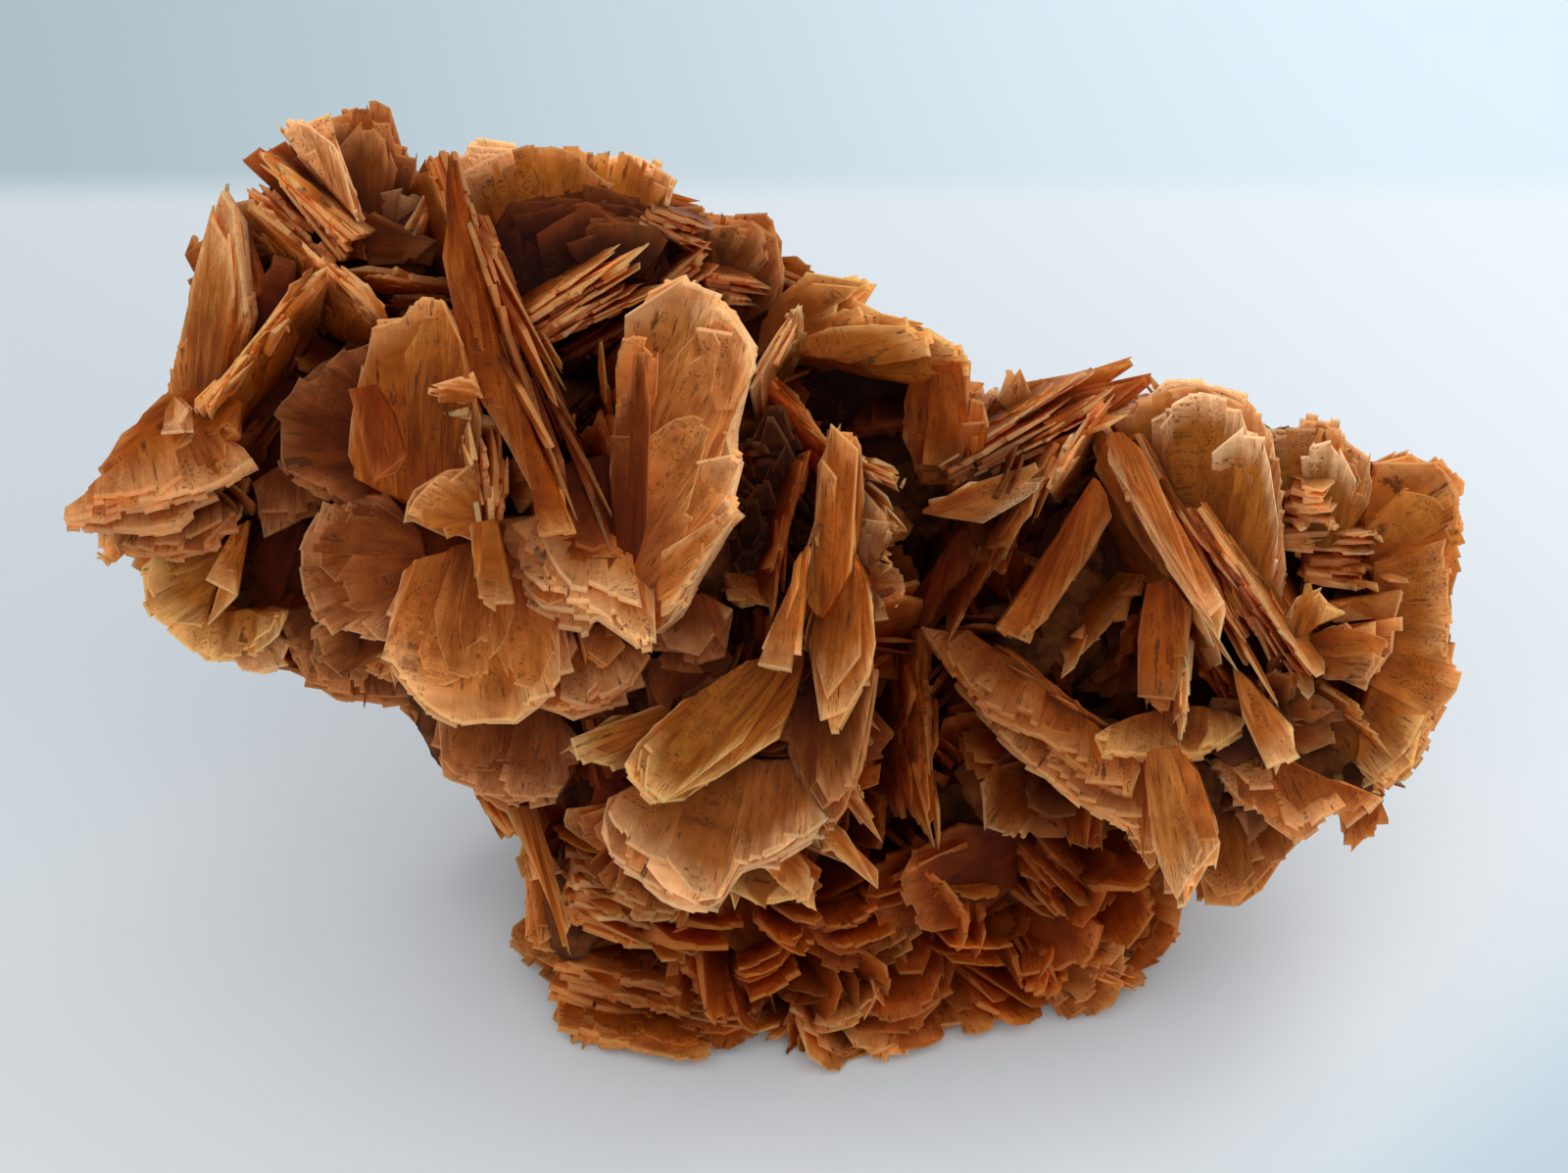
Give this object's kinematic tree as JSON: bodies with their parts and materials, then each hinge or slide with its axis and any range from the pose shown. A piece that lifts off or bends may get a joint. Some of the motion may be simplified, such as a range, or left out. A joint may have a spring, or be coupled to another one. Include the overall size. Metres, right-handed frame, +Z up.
{
  "type": "barite specimen",
  "caption": "Natural cluster of thin honey-brown barite blades grown together in two rosettes on a crusted base that stands on its flat underside.",
  "frame": {"origin": "middle of the bounding box, on the ground under the flat base", "axes": "+X across the two rosettes, from the large one on the left to the small one on the right; +Y to the back; +Z up. The display side faces up and to the front, about halfway between -Y and +Z"},
  "size_m": [0.105, 0.0536, 0.0614],
  "materials": {
    "honey_barite": "translucent honey-brown blades, glossy faces, pale striated rims, dusty in the hollows"
  },
  "bodies": {
    "root": {"barite_cluster": "honey_barite"}
  },
  "joints": []
}
